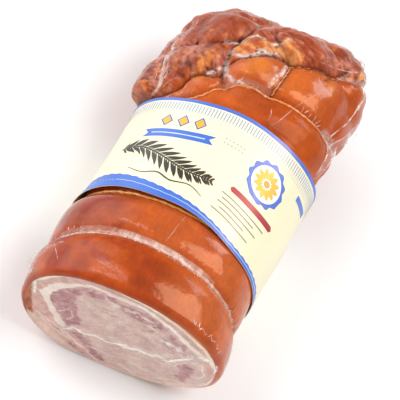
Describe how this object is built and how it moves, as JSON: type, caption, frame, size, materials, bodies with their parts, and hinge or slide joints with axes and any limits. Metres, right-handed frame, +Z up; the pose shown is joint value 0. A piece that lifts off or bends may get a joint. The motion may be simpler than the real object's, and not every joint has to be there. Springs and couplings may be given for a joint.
{
  "type": "porchetta",
  "caption": "Half a rolled roast pork in its browned rind, cut at one end, tied with twine, vacuum packed in clear film with a paper label band.",
  "frame": {"origin": "on the ground under the middle of the bounding box", "axes": "+Z up, +Y along the roll from the cut face to the trussed end, +X to the right when the cut face is looked at"},
  "size_m": [0.1813, 0.3273, 0.1328],
  "materials": {
    "rind": "browned pork rind and fat, wet and glossy under film",
    "loin": "moist cooked pork, cut face",
    "twine": "twisted cotton twine, roasted",
    "paper": "printed label stock, satin",
    "film": "clear vacuum film"
  },
  "bodies": {
    "root": {"belly_wrap": "rind", "loin_upper": "loin", "loin_lower": "loin", "twine_front": "twine", "twine_middle": "twine", "twine_back": "twine", "twine_end": "twine", "twine_link": "twine", "paper_label": "paper", "film_fin_right": "film", "film_fin_left": "film", "film_fin_front": "film", "film_ear_back": "film"}
  },
  "joints": []
}
